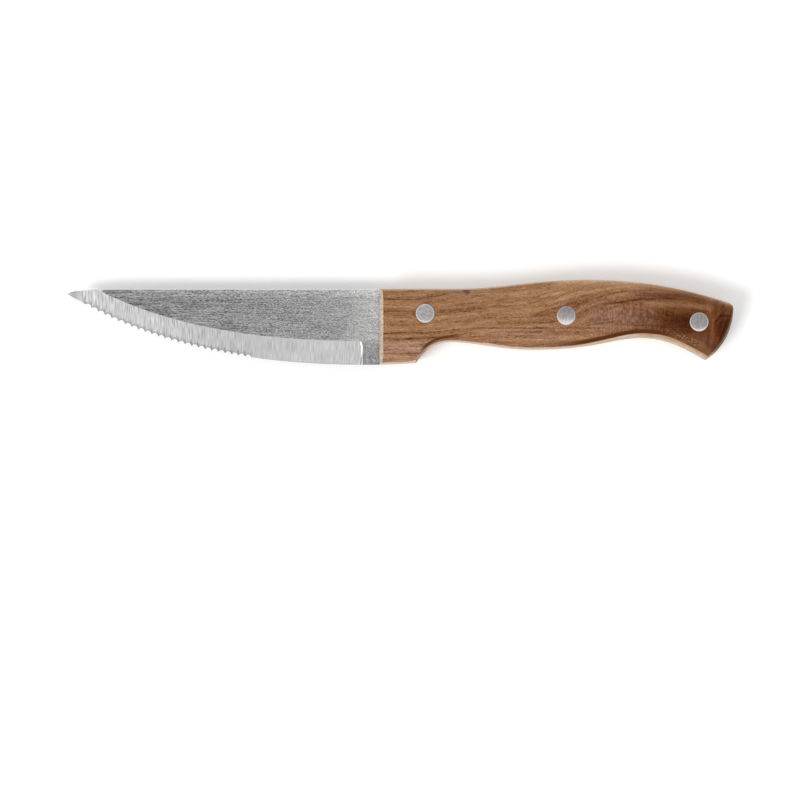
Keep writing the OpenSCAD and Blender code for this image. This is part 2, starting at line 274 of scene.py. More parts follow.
# Figure of the wood, in millimetres: from one place to another, half width, strength. A
# negative strength is darker.
STREAKS = [
    # front
    (4.5, 24.7, 15.5, 24.9, 0.7, 0.10),
    (1.6, 23.2, 9.0, 23.3, 0.22, -0.16),
    (1.6, 21.4, 15.0, 21.8, 1.1, 0.09),
    (13.9, 23.6, 22.2, 24.9, 0.35, -0.16),
    (20.0, 25.5, 28.0, 26.1, 0.3, -0.12),
    (1.5, 18.4, 12.8, 18.4, 1.0, -0.16),
    (21.8, 19.2, 36.0, 19.8, 0.8, -0.08),
    (1.5, 16.7, 14.0, 16.8, 0.8, 0.09),
    (1.4, 15.2, 7.6, 15.3, 0.2, -0.14),
    (2.0, 13.8, 14.0, 14.0, 0.5, -0.06),
    (2.0, 12.1, 15.0, 12.4, 0.35, 0.10),
    (18.2, 12.8, 36.2, 14.8, 0.4, 0.10),
    (2.9, 11.1, 14.7, 11.2, 0.22, -0.18),
    (14.7, 11.2, 27.2, 12.5, 0.22, -0.18),
    (27.2, 12.5, 36.2, 13.2, 0.22, -0.16),
    (2.0, 10.3, 16.0, 10.4, 0.5, 0.08),
    (1.8, 9.1, 11.2, 9.2, 0.4, -0.24),
    (11.2, 9.2, 20.0, 9.9, 0.35, -0.24),
    (1.5, 4.0, 14.4, 4.0, 0.25, -0.12),
    (1.3, 1.6, 5.0, 1.6, 0.3, -0.15),
    # middle
    (35.0, 13.1, 58.0, 13.0, 0.3, -0.16),
    (58.0, 13.0, 81.4, 13.0, 0.3, -0.14),
    (35.0, 12.5, 81.0, 12.5, 0.3, 0.08),
    (47.0, 11.6, 56.0, 11.6, 0.7, -0.05),
    (57.7, 9.9, 81.4, 9.9, 0.8, 0.1),
    (67.0, 21.3, 81.0, 23.1, 0.25, -0.08),
    (68.5, 24.2, 81.4, 25.3, 0.25, -0.08),
    (44.0, 22.0, 56.0, 24.0, 0.25, -0.07),
    (38.0, 16.5, 62.0, 17.2, 0.5, -0.06),
    # rear
    (93.6, 27.8, 105.0, 26.3, 0.3, -0.1),
    (79.2, 21.6, 86.1, 22.2, 0.3, -0.15),
    (86.1, 22.2, 92.9, 23.4, 0.3, -0.16),
    (92.9, 23.4, 105.0, 23.7, 0.4, -0.15),
    (79.2, 24.2, 88.2, 26.3, 0.3, -0.13),
    (88.2, 26.3, 97.2, 26.7, 0.3, -0.1),
    (93.0, 24.8, 107.0, 24.6, 0.9, -0.1),
    (98.0, 22.0, 118.0, 20.6, 1.2, 0.17),
    (86.0, 14.5, 103.0, 13.5, 0.5, -0.08),
]
# Broad patches of tone, in the same form.
PATCHES = [
    (2.0, 6.4, 14.0, 6.4, 2.2, 0.1),
    (2.0, 2.6, 17.0, 2.2, 1.6, 0.12),
    (50.0, 25.0, 64.0, 25.4, 2.4, 0.04),
    (64.0, 25.4, 88.0, 26.0, 2.2, 0.1),
    (66.0, 29.3, 92.0, 28.8, 1.6, 0.12),
    (88.0, 27.6, 104.0, 26.4, 1.3, 0.1),
    (94.0, 16.5, 101.0, 16.5, 3.6, -0.1),
    (106.0, 16.5, 112.0, 15.5, 3.2, -0.2),
    (104.0, 13.0, 110.0, 13.0, 2.0, -0.1),
    (118.6, 18.5, 119.2, 13.0, 1.0, 0.12),
    (115.0, 9.0, 117.0, 6.0, 2.0, 0.08),
]
# A knot at the front, and the rear end, where the figure turns across the handle.
TURNS = [
    (31.0, 26.4, 31.9, 25.8, 1.0, -0.34),
    (121.0, 15.6, 122.6, 17.5, 0.35, -0.26),
    (122.6, 17.5, 125.6, 17.4, 0.3, -0.26),
    (123.0, 15.4, 122.0, 10.5, 1.4, -0.14),
    (125.6, 16.0, 122.6, 8.0, 0.8, -0.26),
    (120.0, 16.0, 119.4, 8.0, 0.7, 0.1),
    (113.0, 10.0, 117.0, 8.0, 0.4, -0.06),
]
# Where the wood is pinker, in the same form.
PINK = [
    (2.0, 6.4, 14.0, 6.0, 2.6, 0.7),
    (30.0, 26.2, 32.6, 25.9, 1.6, 0.9),
    (42.0, 10.8, 64.0, 10.6, 1.8, 0.45),
    (4.0, 1.5, 12.0, 1.5, 1.5, 0.4),
    (78.0, 16.8, 96.0, 16.0, 3.8, 0.75),
    (93.0, 24.8, 106.0, 24.6, 1.3, 0.4),
    (116.0, 9.0, 119.0, 7.0, 3.0, 0.5),
]
# Where the end of the handle is redder, and three red flecks.
RUSTY = [
    (117.0, 15.0, 124.0, 9.0, 4.0, 0.8),
]
RED = [
    (11.0, 16.9, 11.6, 16.5, 0.35, 0.6),
    (51.8, 12.9, 52.3, 12.9, 0.25, 0.7),
    (67.5, 21.5, 68.1, 21.5, 0.3, 0.5),
]

# Curves along the handle, from the front to the butt. First the tone of the wood.
WOOD_TONE = [
    (0, 0.52),
    (15, 0.53),
    (40, 0.56),
    (65, 0.52),
    (88, 0.44),
    (104, 0.31),
    (118, 0.23),
    (128, 0.23),
]
# How much lighter the upper rounded edge is: a painted highlight.
RIM_HIGHLIGHT_TONE = [(0, 0.14), (55, 0.18), (66, 0.28), (86, 0.4), (104, 0.44), (128, 0.42)]
# How pale the walls are, on the low side, which faces the lamp, and on the high side: paler wood,
# with painted light.
WALL_PALE = [
    (0, 0.95),
    (24, 0.9),
    (40, 0.85),
    (80, 0.8),
    (92, 0.9),
    (108, 0.9),
    (118, 0.85),
    (128, 0.8),
]
HIGH_PALE = [(0, 0.65), (45, 0.6), (110, 0.7), (128, 0.7)]
# How far the grain has risen, in shares of the most, and how much more near the upper edge.
MOST_RISE = 6.0
GRAIN_RISE = [(0, 0.0), (14, 0.02), (36, 0.35), (60, 0.45), (84, 0.8), (104, 0.75), (128, 0.4)]
UPPER_RISE = [
    (0, 0.0),
    (44, 0.0),
    (64, 0.4),
    (82, 0.85),
    (92, 0.95),
    (104, 0.8),
    (128, 0.2),
]

# Stretches of the handle, in millimetres along it. Two numbers are where a look is absent and
# where it is full. Four are where it begins, where it is full, until where, and where it ends.
CALM_FIBRES = (66.0, 82.0)
CALMER_FIBRES = (92.0, 102.0)
TURNED_FIBRES = (107.0, 116.0)
FEWER_FLECKS = (92.0, 104.0)
FEWER_PORES = (90.0, 100.0)
SHIMMER = (72.0, 84.0, 100.0, 112.0)
PINK_RIM_HIGHLIGHT = (56.0, 90.0)
# Where the pale walls, with their painted light, reach on to the rounding
PALE_FOOT = (24.0, 20.0)
PALE_BELLY = (34.0, 40.0, 100.0, 112.0)
NARROW_PALE = (30.0, 44.0, 82.0, 94.0)
FRONT_EDGE = (1.1, 0.8)
TAN_WALL = (88.0, 98.0)
NOTCH_LINE = (14.4, 16.6, 25.5, 31.0)
NOTCH_FRONT = (21.0, 14.0)
FAINT_HOOK = (36.0, 42.0)
STRONG_HOOK = (58.0, 76.0)
HOOK_END = (110.0, 100.0)
BUTT_LINE = (112.0, 116.0)
SPECKS = (99.0, 105.0, 113.0, 118.0)
# The same for heights above the foot.
UPPER_GRAIN = (13.0, 24.0)
BELOW_SHIMMER = (23.0, 18.0)
UPPER_EDGE = (19.0, 22.0)
ABOVE_FOOT = (8.0, 11.0)
# Heights where the painted shade on the butt's wall sets in
SHADED_BUTT = (2.0, 10.0)
LOW_LINES = (16.0, 12.0)
BUTT_LINE_HEIGHT = (4.5, 8.5, 17.0, 21.0)
SPECKS_HEIGHT = (14.0, 12.5)
# The same for the rounding of the long edges, from 0 at the flat face to 1 at the wall.
PALE_ROUNDING = (0.88, 0.96)
NOTCH_ROUNDING = (0.68, 0.46)
NOTCH_FLAT = (0.005, 0.02)
HOOK_ROUNDING = (0.5, 0.7, 0.88, 0.96)
BUTT_ROUNDING = (0.8, 0.93)
SPECKS_ROUNDING = (0.22, 0.4, 0.72, 0.9)
# Which part of the scale a face belongs to. The wall goes by how much of a normal points up or
# down, the front and the butt by how much points to the butt, and the low side by how much
# points to the upper edge.
WALL_UPWARD = (0.4, 0.3)
FRONT_FACING = (-0.7, -0.9)
BUTT_FACING = (0.5, 0.8)
NEAR_BUTT_FACING = (0.05, 0.15)
LOW_FACING = (0.2, -0.2)
# How far the rings lean for each millimetre of depth, and how far they waver.
RING_LEAN = 0.7
RING_WAVER = 0.22
# How dark the open pores are, and how rough and how shiny the wood is.
PORE_DARKNESS = 0.24
WOOD_ROUGHNESS = 0.56
WOOD_SPECULAR = 0.08

# Display colours of the wood, from the darkest tone to the lightest.
WOOD_COLOURS = [
    (0.0, (60, 22, 0)),
    (0.15, (87, 46, 18)),
    (0.3, (113, 70, 38)),
    (0.5, (146, 104, 74)),
    (0.75, (179, 136, 99)),
    (1.0, (210, 172, 132)),
]
PINK_COLOURS = [
    (0.0, (62, 34, 24)),
    (0.3, (114, 78, 60)),
    (0.5, (149, 111, 92)),
    (0.75, (181, 146, 124)),
    (1.0, (214, 184, 162)),
]
# Colours of the pale walls: paler wood, with painted light
PALE_AND_LIT_COLOURS = [(0.0, (180, 136, 104)), (0.3, (206, 172, 142)), (1.0, (250, 238, 220))]
FLECK_COLOUR = (160, 62, 40)
# Colour of the painted shade on the butt's wall
BUTT_SHADE_COLOUR = (112, 90, 74)
# Colour of the dark lines along the rounding
DARK_LINE_COLOUR = (84, 44, 14)
# Colour of the painted shadow round the rivets
RING_SHADOW_COLOUR = (46, 24, 12)
# Colour of the painted glints
GLINT_COLOUR = (214, 178, 150)
# What the redder end keeps of each linear colour.
RUST_TINT = (1.0, 0.7, 0.58, 1)
# Depth of the long edges' rounding, in millimetres.
EDGE_DEPTH = 2.0
# Layer of the noise for the lower scale, which is cut from another board.
OTHER_BOARD = 40.0

# Look of each rivet's heads: values at the low side, the middle and the high side, which paint
# the reflection of the domed head; how fine the brushing is along the handle and across it, its
# strength, how bright the painted highlight on the rim is and how much of it shows at the high
# side, and how dark the painted shadow in the wood round the head is.
RIVETS = {
    "front": {
        "low": 0.56,
        "middle": 0.51,
        "high": 0.53,
        "along": 0.7,
        "across": 2.4,
        "strength": 0.72,
        "rim": 0.88,
        "high_rim": 0.8,
        "ring": 0.45,
    },
    "middle": {
        "low": 1.0,
        "middle": 0.5,
        "high": 0.35,
        "along": 2.0,
        "across": 0.4,
        "strength": 0.468,
        "rim": 1.0,
        "high_rim": 0.2,
        "ring": 0.08,
    },
    "rear": {
        "low": 0.56,
        "middle": 0.44,
        "high": 0.38,
        "along": 2.4,
        "across": 0.25,
        "strength": 0.72,
        "rim": 1.0,
        "high_rim": 0.35,
        "ring": 0.6,
    },
}


def rivet_place(which):
    """Middle and radius of a rivet's head, in the surfaces' millimetres."""
    corner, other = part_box(which + "_rivet_pin")
    middle_x = (corner[0] + other[0])/2/MM + FRONT
    middle_y = (corner[1] + other[1])/2/MM + FOOT
    return middle_x, middle_y, (other[0] - corner[0])/2/MM


def wood_grain(net):
    """What the looks of the wood share: where a place lies in its board, the board's noises and
    pores, and which face of the scale it is on."""
    x, y, z = net.x, net.y, net.z
    wood = SimpleNamespace()
    lower = net.math("LESS_THAN", z, MIDDLE)
    wood.seed = net.times(lower, OTHER_BOARD)
    wood.deep = net.add(wood.seed, net.times(z, 0.5))
    wood.depth = net.less(TOP, net.mix_number(lower, z, net.less(2*MIDDLE, z)))

    # The rings lean through the thickness, and the grain rises along the handle
    waver = net.drawn(x, y, wood.seed, along=0.09, across=0.16, detail=1.0)
    sunk = net.larger(net.less(wood.depth, EDGE_DEPTH), 0.0)
    wood.level = net.add(y, net.times(sunk, RING_LEAN), net.times(waver, RING_WAVER))
    rise = net.times(net.along(x, GRAIN_RISE), MOST_RISE)
    slant = net.times(net.along(x, UPPER_RISE), net.step(wood.level, *UPPER_GRAIN), MOST_RISE)
    grain_y = net.less(net.less(wood.level, rise), slant)

    wood.broken = net.drawn(x, y, wood.seed, along=0.5, across=0.7)
    wood.bands = net.drawn(x, grain_y, wood.seed, along=0.022, across=0.5)
    wood.fibres = net.drawn(
        x, grain_y, wood.deep, along=0.06, across=1.3, detail=3.0, roughness=0.65
    )
    wood.fine = net.drawn(x, grain_y, wood.deep, along=0.3, across=3.0, detail=1.0, roughness=0.6)
    wood.flecks = net.drawn(x, grain_y, wood.deep, along=1.4, across=3.2, detail=1.0)
    pore_place = net.vector(net.times(x, 0.55), net.times(grain_y, 2.7), wood.deep)
    pores = net.node("ShaderNodeTexVoronoi", {"Vector": pore_place, "Scale": 1.0})
    wood.pore = net.step(pores.outputs["Distance"], 0.3, 0.12)
    wood.pore = net.times(wood.pore, net.step(wood.broken, -0.25, 0.2))

    # The rounding runs from 0 at the flat face to 1 at the wall
    share = net.math("MULTIPLY", wood.depth, 1/EDGE_DEPTH, clamp=True)
    wood.rounding = net.math("SQRT", share)
    # Where the upper rounded edge gets a painted highlight
    wood.outer = net.times(share, share, net.step(y, *UPPER_EDGE))
    wood.wall = net.step(net.size(net.facing["Z"]), *WALL_UPWARD)
    wood.front = net.step(net.facing["X"], *FRONT_FACING)
    wood.butt = net.step(net.facing["X"], *BUTT_FACING)
    wood.low_side = net.step(net.facing["Y"], *LOW_FACING)
    return wood


def wood_tone(net, wood):
    """Tone of the wood, from 0 where it is darkest to 1."""
    x, y, level = net.x, net.y, wood.level
    tone = net.along(x, WOOD_TONE)
    tone = net.add(tone, marks(net, x, level, PATCHES, soft_end=4.0))
    tone = net.add(tone, marks(net, x, level, TURNS, soft_end=0.8))
    figure = marks(net, x, level, STREAKS, soft_end=1.6)
    tone = net.add(tone, net.times(figure, net.math("MULTIPLY_ADD", wood.broken, 0.6, 1.0)))

    # Behind the last rivet the fibres run across the handle
    turned = net.step(net.less(x, net.times(y, 0.25)), *TURNED_FIBRES)
    fibres = net.weigh((wood.bands, 0.2), (wood.fibres, 0.34), (wood.fine, 0.22))
    calm = net.weigh((net.step(x, *CALM_FIBRES), 0.4), (net.step(x, *CALMER_FIBRES), 0.2))
    leaning = net.less(x, net.times(y, 0.12))
    cross = net.drawn(leaning, y, wood.deep, along=0.8, across=0.13, detail=3.0, roughness=0.6)
    fibres = net.mix_number(turned, net.dim(fibres, calm), net.times(cross, 0.26))
    tone = net.add(tone, fibres)

    fleck_strength = net.mix_number(net.step(x, *FEWER_FLECKS), 0.3, 0.14)
    tone = net.add(tone, net.times(wood.flecks, fleck_strength))
    closed = net.weigh((turned, 0.1), (net.step(x, *FEWER_PORES), 0.12))
    tone = net.less(tone, net.times(wood.pore, net.less(PORE_DARKNESS, closed)))
    # Painted sheen: bands of shimmer across the grain
    shimmer = net.drawn(x, y, wood.seed, along=2.0, across=0.13)
    shimmering = net.times(net.within(x, *SHIMMER), net.step(level, *BELOW_SHIMMER))
    tone = net.add(tone, net.times(shimmer, shimmering, 0.22))
    # Painted highlight on the upper rounded edge
    return net.add(tone, net.times(wood.outer, net.along(x, RIM_HIGHLIGHT_TONE)))


def pale_and_lit_wood(net, wood):
    """How pale the walls are, and their colour: paler wood, with painted light towards the lamp.
    """
    x, y = net.x, net.y
    pale = net.mix_number(wood.low_side, net.along(x, HIGH_PALE), net.along(x, WALL_PALE))
    # It reaches on to the rounding under the foot, the belly and the hollow
    under = net.larger(net.step(x, *PALE_FOOT), net.within(x, *PALE_BELLY))
    narrow = net.times(net.within(x, *NARROW_PALE), 0.04)
    reached = net.step(net.less(wood.rounding, narrow), *PALE_ROUNDING)
    under = net.times(under, wood.low_side, reached)
    pale = net.dim(net.times(pale, net.larger(wood.wall, under)), wood.butt)
    edge_of_front = net.larger(net.step(y, *ABOVE_FOOT), net.step(x, *FRONT_EDGE))
    pale = net.larger(pale, net.times(wood.front, edge_of_front, 0.95))
    # Cream and mottled in front, and tan under the pommel's rounded edge
    tan = net.times(net.step(x, *TAN_WALL), net.step(wood.depth, 7.0, 2.5))
    tone = net.mix_number(tan, 0.55, 0.12)
    tone = net.add(tone, net.times(wood.fibres, 0.5), net.times(wood.fine, 0.4))
    mottled = net.less(wood.flecks, net.times(wood.broken, 0.4))
    tone = net.add(tone, net.times(wood.front, mottled, 0.9))
    return net.times(pale, 0.9), net.colours(tone, PALE_AND_LIT_COLOURS)


def dark_edge_lines(net, wood):
    """Dark lines inside the rounding of the notch, along the hook, and at the butt."""
    x, y = net.x, net.y
    inner = net.less(wood.rounding, net.times(net.step(x, *NOTCH_FRONT), 0.2))
    notch = net.times(net.within(x, *NOTCH_LINE), net.step(inner, *NOTCH_ROUNDING))
    notch = net.times(notch, net.step(inner, *NOTCH_FLAT))
    hook = net.weigh((net.step(x, *FAINT_HOOK), 0.2), (net.step(x, *STRONG_HOOK), 0.8))
    hook = net.times(hook, net.step(x, *HOOK_END))
    hook = net.times(hook, net.within(wood.rounding, *HOOK_ROUNDING))
    low = net.times(net.add(net.times(notch, 0.9), hook), net.step(y, *LOW_LINES))
    back = net.step(net.facing["X"], *NEAR_BUTT_FACING)
    back = net.times(back, net.step(wood.rounding, *BUTT_ROUNDING), net.step(x, *BUTT_LINE))
    back = net.times(back, net.within(y, *BUTT_LINE_HEIGHT), 0.9)
    return net.dim(net.larger(low, back), wood.wall)


def rivet_rings(net):
    """Painted shadow: dark rings in the wood round the rivets, darkest on the left."""
    rings = 0.0
    for which, look in RIVETS.items():
        middle_x, middle_y, radius = rivet_place(which)
        x = net.less(net.x, middle_x)
        reach = net.distance(x, net.less(net.y, middle_y))
        close = net.times(net.step(reach, radius + 0.45, radius + 0.12), look["ring"])
        rings = net.add(rings, net.times(close, net.step(x, 1.2*radius, -0.8*radius)))
    return rings


def glint_specks(net, wood):
    """Painted glints along the pommel's lower edge."""
    specks = net.noise(net.vector(net.x, net.y, wood.seed), size=1.5, roughness=0.7)
    glints = net.step(specks, 0.12, 0.34)
    glints = net.times(glints, net.within(wood.rounding, *SPECKS_ROUNDING))
    glints = net.times(glints, net.within(net.x, *SPECKS))
    return net.times(glints, net.step(net.y, *SPECKS_HEIGHT), 0.55)


def walnut():
    material, net = new_material("walnut")
    x, y = net.x, net.y
    wood = wood_grain(net)
    tone = wood_tone(net, wood)
    pink = marks(net, x, wood.level, PINK, soft_end=3.0)
    # A pinker painted highlight on the upper rounded edge
    pink = net.add(pink, net.times(wood.outer, net.step(x, *PINK_RIM_HIGHLIGHT), 0.8))
    colour = net.mix(pink, net.colours(tone, WOOD_COLOURS), net.colours(tone, PINK_COLOURS))
    rusty = marks(net, x, y, RUSTY, soft_end=3.0)
    colour = net.mix(rusty, colour, RUST_TINT, kind="MULTIPLY")
    colour = net.mix(marks(net, x, y, RED, soft_end=0.4), colour, linear(*FLECK_COLOUR))
    # Pale walls and front: paler wood, with painted light on the faces towards the lamp
    bare, pale_and_lit_colour = pale_and_lit_wood(net, wood)
    colour = net.mix(bare, colour, pale_and_lit_colour)
    # Painted shade, greyish, on the butt's end-grain wall, which faces away from the lamp
    shaded_butt_wall = net.times(wood.butt, wood.wall, net.step(y, *SHADED_BUTT), 0.8)
    colour = net.mix(shaded_butt_wall, colour, linear(*BUTT_SHADE_COLOUR))
    colour = net.mix(dark_edge_lines(net, wood), colour, linear(*DARK_LINE_COLOUR))
    colour = net.mix(rivet_rings(net), colour, linear(*RING_SHADOW_COLOUR))
    colour = net.mix(glint_specks(net, wood), colour, linear(*GLINT_COLOUR))

    uneven = net.weigh((wood.fine, 0.08), (wood.pore, 0.15))
    roughness = net.add(WOOD_ROUGHNESS, uneven)
    height = net.weigh((wood.fibres, 0.3), (wood.fine, 0.5), (wood.pore, -1.2))
    dress(net, colour, roughness, height, strength=0.35, depth=0.05)
    net.shader.inputs["Specular IOR Level"].default_value = WOOD_SPECULAR
    return material


# Colour of the steel where its value is 1.
BLADE_TINT = (0.69, 0.69, 0.687)
RIVET_TINT = (0.69, 0.649, 0.642)
# Values of the cheek and of the bevel along the blade: the steel's finish, with painted
# reflection in how the blade brightens and darkens along its length.
CHEEK_VALUE = [
    (-112, 0.8),
    (-102, 0.78),
    (-99.8, 0.31),
    (-95, 0.29),
    (-70, 0.32),
    (-40, 0.36),
    (-18, 0.405),
    (-6, 0.54),
    (0, 0.59),
    (128, 0.5),
]
BEVEL_VALUE = [
    (-112, 0.478),
    (-96, 0.484),
    (-82, 0.515),
    (-53, 0.527),
    (-20, 0.617),
    (-6, 0.62),
    (128, 0.58),
]
# Height of the cutting edge along the teeth, whose ends get painted shade, in shares of
# EDGE_HEIGHT.
EDGE_HEIGHT = 30.0
EDGE_LINE = [
    (-107, 23.6/EDGE_HEIGHT),
    (-99.4, 18.9/EDGE_HEIGHT),
    (-93.9, 16.3/EDGE_HEIGHT),
    (-83.1, 12.0/EDGE_HEIGHT),
    (-72.2, 8.7/EDGE_HEIGHT),
    (-61.3, 6.0/EDGE_HEIGHT),
    (-46, 3.4/EDGE_HEIGHT),
]
FIRST_TOOTH = -107.0
TOOTH_PITCH = 2.424
# Distance of the coarse bands that the grinding left near the tip.
BAND_PITCH = 1.22
# How far toward the tip from its place the bevel's run-out lies, at heights above the foot.
RUN_OUT_PLACE = -5.95
RUN_OUT_WIDTH = (0.4, 0.16)
RUN_OUT = [(0, 0.55), (2.5, 0.3), (5.2, 0.25), (6.8, 0.4), (8.0, 0.8), (30.0, 0.8)]
# Stretches of the blade, in the same form as those of the handle.
COARSE_CHEEK = (-80.0, -25.0)
CALM_CHEEK = (-32.0, -4.0)
BRIGHT_SPINE = (-105.0, -75.0)
FINER_BEVEL = (-80.0, -40.0)
TIP_BANDS = (-112, -108, -101, -92)
TEETH = (-108.5, -107.5, -47.0, -45.5)
# Where the point turns darker
DARK_POINT = (-107.0, -111.0)
RICASSO = (-7.5, -6.5)
CHAMFER_END = (1.0, 0.0)
JOINT = (-0.35, -0.05, 0.3, 0.6)
# The same for heights above the foot, and above the cutting edge.
NEAR_SPINE = (23.8, 26.2)
RICASSO_HEIGHT = (10.0, 6.0)
RUN_OUT_TOP = (8.2, 7.8)
TOOTH_HEIGHT = (1.9, 0.3)
# How much of a normal points to the side, or up or down, on the bevel, the honed edge, the
# edge's cuts, the spine's chamfer, the narrow sides and the cheek.
GROUND_LEAN = (0.03, 0.07, 0.2, 0.3)
HONED_LEAN = (0.3, 0.36, 0.5, 0.6)
CUT_LEAN = (0.5, 0.6)
CUT_UPWARD = (0.3, 0.5)
CHAMFER_LEAN = (0.4, 0.5)
CHAMFER_UPWARD = (0.4, 0.5)
SIDE_UPWARD = (0.2, 0.1)
CHEEK_UPWARD = (0.9, 0.95)
# Values of the honed edge and of the last stretch of the point, and how rough the steel is.
EDGE_VALUE = 0.6
POINT_VALUE = 0.33
BLADE_ROUGHNESS = 0.38
RIVET_ROUGHNESS = 0.34


def metal(net, value, tint, roughness, lines):
    """Makes the surface steel of that value, with fine lines."""
    colour = net.mix(value, (0, 0, 0, 1), (*tint, 1))
    dress(net, colour, roughness, lines, strength=0.15, depth=0.02)
    net.shader.inputs["Metallic"].default_value = 1.0


def cheek_lines(net, brushed, ricasso):
    """Lines brushed along the cheek, and scratches aslant across the ricasso."""
    x, y = net.x, net.y
    hairs = net.drawn(x, y, net.z, along=0.14, across=4.6, roughness=0.7)
    grit = net.drawn(x, y, layer=13.0, along=1.7, across=5.6, detail=0.0)
    broad = net.drawn(x, y, layer=9.0, along=0.1, across=0.2, detail=1.0)
    aslant = net.vector(net.add(x, y), net.times(net.less(y, x), 0.25), 3.0)
    scratches = net.noise(aslant, size=1.7, roughness=0.7)
    coarse = net.step(x, *COARSE_CHEEK)
    lines = net.times(brushed, net.mix_number(coarse, 1.6, 1.3))
    lines = net.add(lines, net.times(grit, coarse, 1.1))
    lines = net.add(lines, net.times(hairs, net.mix_number(coarse, 1.7, 0.9)))
    lines = net.add(lines, net.times(broad, 0.2))
    lines = net.dim(lines, net.step(x, *CALM_CHEEK), 0.3)
    return net.mix_number(ricasso, lines, net.times(scratches, 1.5))


def bevel_lines(net, cross):
    """Lines ground across the bevel, and coarse bands near the tip."""
    bands = net.math("SINE", net.times(net.x, 2*math.pi/BAND_PITCH))
    bands = net.times(bands, net.within(net.x, *TIP_BANDS), 0.16)
    strength = net.mix_number(net.step(net.x, *FINER_BEVEL), 0.92, 0.56)
    return net.add(net.times(cross, strength), bands)


def shaded_teeth(net):
    """Painted shade at the ends of the teeth, from 0 to 1."""
    above_edge = net.less(net.y, net.times(net.along(net.x, EDGE_LINE), EDGE_HEIGHT))
    turn = net.times(net.less(net.x, FIRST_TOOTH), 2*math.pi/TOOTH_PITCH)
    tooth = net.step(net.math("COSINE", turn), 0.2, 0.9)
    tooth = net.times(tooth, net.step(above_edge, *TOOTH_HEIGHT))
    return net.times(tooth, net.within(net.x, *TEETH))


def blade_steel():
    material, net = new_material("blade_steel")
    x, y, z = net.x, net.y, net.z
    lean = net.size(net.facing["Y"])
    upward = net.size(net.facing["Z"])
    ground = net.within(lean, *GROUND_LEAN)
    honed = net.within(lean, *HONED_LEAN)
    edge_cut = net.times(net.step(lean, *CUT_LEAN), net.step(upward, *CUT_UPWARD))
    ricasso = net.times(net.step(x, *RICASSO), net.step(y, *RICASSO_HEIGHT))

    brushed = net.drawn(x, y, z, along=1.4, across=4.9, detail=1.0, roughness=0.6)
    cross = net.drawn(x, y, layer=5.0, along=4.2, across=0.22, detail=1.0, roughness=0.6)
    uneven = net.drawn(x, y, layer=7.0, along=0.9, across=0.05, detail=1.0)
    cross = net.add(cross, net.times(uneven, 0.14))
    rim_lines = net.drawn(x, z, layer=11.0, along=0.3, across=2.0)
    lines = net.mix_number(ground, cheek_lines(net, brushed, ricasso), bevel_lines(net, cross))
    lines = net.mix_number(net.step(upward, *SIDE_UPWARD), lines, net.times(rim_lines, 0.3))

    cheek_value = net.dim(net.along(x, CHEEK_VALUE), ricasso, 0.33)
    near_spine = net.times(net.step(y, *NEAR_SPINE), net.step(x, *BRIGHT_SPINE))
    cheek_value = net.times(cheek_value, net.add(1.0, net.times(near_spine, 0.28)))
    value = net.mix_number(ground, cheek_value, net.along(x, BEVEL_VALUE))
    value = net.times(value, net.add(1.0, lines))
    value = net.mix_number(honed, value, EDGE_VALUE)
    value = net.mix_number(edge_cut, value, net.add(EDGE_VALUE, net.times(cross, 0.2)))
    value = net.dim(value, shaded_teeth(net), 0.42)
    # The last stretch of the point is darker
    point = net.step(x, *DARK_POINT)
    value = net.mix_number(point, value, POINT_VALUE)
    # Painted highlights on the run-out's hollow and the spine's chamfer, and the joint is dark
    run_out = net.less(net.add(x, net.along(y, RUN_OUT)), RUN_OUT_PLACE)
    hollow = net.step(net.size(run_out), *RUN_OUT_WIDTH)
    hollow = net.times(hollow, net.step(y, *RUN_OUT_TOP), upward)
    chamfer = net.step(net.facing["Y"], *CHAMFER_LEAN)
    chamfer = net.times(chamfer, net.step(upward, *CHAMFER_UPWARD), net.step(x, *CHAMFER_END))
    chamfer = net.dim(chamfer, point)
    value = net.mix_number(net.larger(hollow, chamfer), value, 1.0)
    joint = net.times(net.within(x, *JOINT), net.step(upward, *CHEEK_UPWARD))
    value = net.dim(value, joint, 0.55)
    roughness = net.add(BLADE_ROUGHNESS, net.weigh((brushed, 0.06), (ground, 0.02)))
    metal(net, value, BLADE_TINT, roughness, lines)
    return material


def rivet_steel(which):
    material, net = new_material("rivet_steel_" + which)
    look = RIVETS[which]
    middle_x, middle_y, radius = rivet_place(which)
    x = net.less(net.x, middle_x)
    y = net.less(net.y, middle_y)
    lines = net.drawn(x, y, net.z, look["along"], look["across"], detail=3.0, roughness=0.6)
    specks = net.noise(net.vector(x, y, net.z), size=1.9, roughness=0.7)
    # From here the places are in shares of the head's radius
    side = net.times(x, 1/radius)
    high = net.times(y, 1/radius)
    out = net.distance(side, high)
    # Painted reflection of the domed head: its value goes from the low side to the high side
    value = net.mix_number(net.step(high, -0.25, 0.65), look["middle"], look["high"])
    value = net.mix_number(net.step(high, -0.85, -0.1), look["low"], value)
    uneven = net.weigh((lines, look["strength"]), (specks, 0.5))
    value = net.times(value, net.add(1.0, uneven))
    # Painted highlight on the rim, brightest on the low side; the dark gap round it, with painted
    # shade at its sides
    shown = net.mix_number(net.step(high, -0.8, 0.8), 1.1, look["high_rim"])
    width = net.times(net.step(high, -0.45, -0.85), 0.14*look["rim"])
    rim = net.times(net.step(net.add(out, width), 0.84, 0.96), shown)
    value = net.mix_number(net.math("MINIMUM", rim, 0.9), value, look["rim"])
    shaded = net.step(net.size(side), 0.2, 0.9)
    gap_and_shade = net.times(net.step(out, 0.96, 0.99), net.add(0.2, net.times(shaded, 0.6)))
    value = net.dim(value, gap_and_shade)
    metal(net, value, RIVET_TINT, net.add(RIVET_ROUGHNESS, net.times(lines, 0.05)), lines)
    return material


# Vertices nearer than this are one vertex.
SAME_PLACE = 0.005*MM
# How much of a face's normal points up or down if the face lies nearly level.
NEARLY_LEVEL = 0.93


